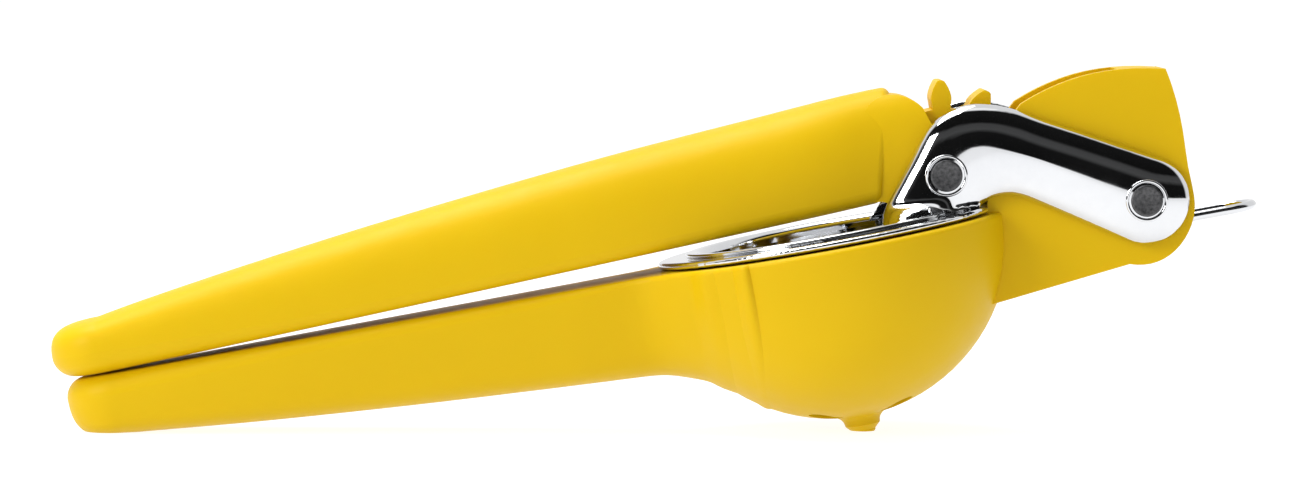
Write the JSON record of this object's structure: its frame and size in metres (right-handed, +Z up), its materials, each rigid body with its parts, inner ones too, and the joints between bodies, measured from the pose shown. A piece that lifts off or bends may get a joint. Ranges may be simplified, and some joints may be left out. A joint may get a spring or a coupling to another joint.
{
  "type": "citrus press juicer",
  "caption": "Hand citrus press with a perforated bowl on a handle and a geared upper handle that drives a chrome cup into the bowl.",
  "frame": {"origin": "middle of the bottom of the closed press as it rests on a table", "axes": "+X towards the nose and hanging loop, +Y towards the far side, +Z up"},
  "size_m": [0.259, 0.077, 0.0783],
  "materials": {
    "nylon": "matte",
    "chrome": "mirror",
    "steel": "brushed",
    "bearing": "matte"
  },
  "bodies": {
    "lower": {"bowl_and_lower_handle": "nylon", "lower_handle_cover": "nylon", "hang_loop": "chrome", "front_pin_bush": "bearing"},
    "press": {"press_cup": "chrome", "press_arms": "chrome", "front_pin": "steel", "rear_pin": "steel", "front_washers": "bearing", "rear_washers": "bearing"},
    "upper": {"upper_handle": "nylon", "upper_handle_cover": "nylon", "rear_pin_bush": "bearing"}
  },
  "joints": [
    {"name": "press_swing", "type": "hinge", "parent": "lower", "child": "press", "pos_m": [0.10446, 0, 0.05034], "axis": [0, 1, 0], "range_deg": [0, 40]},
    {"name": "handle_swing", "type": "hinge", "parent": "press", "child": "upper", "pos_m": [0.06203, 0, 0.05563], "axis": [0, 1, 0], "range_deg": [0, 60]}
  ],
  "couplings": [
    {"joint": "handle_swing", "follows": "press_swing", "ratio": 1.5}
  ]
}
